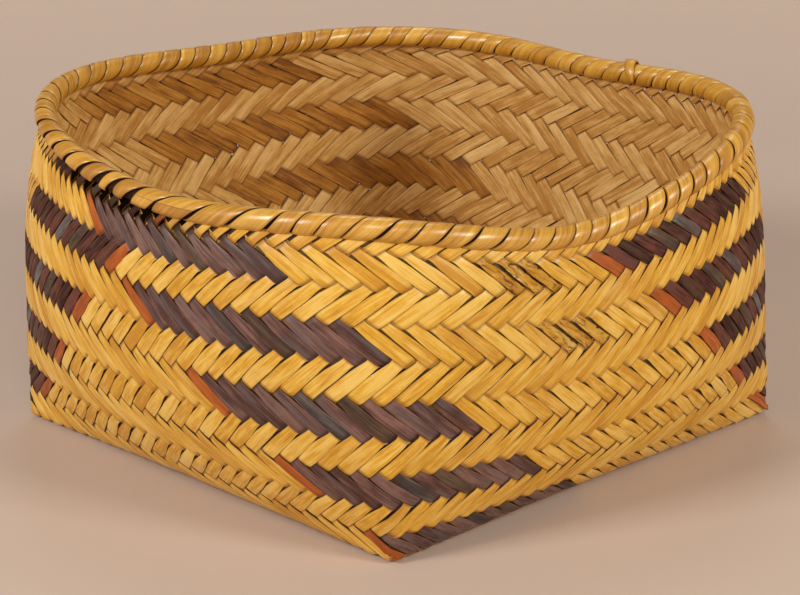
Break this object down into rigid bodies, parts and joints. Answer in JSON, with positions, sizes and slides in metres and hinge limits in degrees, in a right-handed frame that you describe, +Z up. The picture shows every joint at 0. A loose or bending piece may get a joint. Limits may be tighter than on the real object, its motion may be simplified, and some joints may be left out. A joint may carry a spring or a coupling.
{
  "type": "plaited cane basket",
  "caption": "Square-based, round-mouthed storage basket of twill-plaited split cane, with walls that swell and a rim of hoops bound round with flat cane.",
  "frame": {"origin": "bottom centre of the bounding box, on the surface that the basket stands on", "axes": "+Z up; the base's sides lie along X and Y, and the corner that the picture shows nearest is at +X, -Y"},
  "size_m": [0.2348, 0.2364, 0.1295],
  "materials": {
    "natural_cane": "split cane with its glossy yellow rind outwards and matte tan pith inwards",
    "dark_cane": "split cane dyed a dull purple brown, worn lighter along its edges",
    "hoop_cane": "rough split cane, hidden under the binder",
    "binder_cane": "flat cane strip with a smooth glossy golden rind",
    "orange_cane": "split cane dyed burnt orange, slightly glossy"
  },
  "bodies": {
    "root": {"plaited_body": "natural_cane", "rim_hoop_outer": "hoop_cane", "rim_hoop_inner": "hoop_cane", "rim_binder_1": "binder_cane", "rim_binder_2": "binder_cane", "rim_binder_3": "binder_cane", "rim_binder_4": "binder_cane", "binder_tuck": "binder_cane", "splice_end": "orange_cane"}
  },
  "joints": []
}
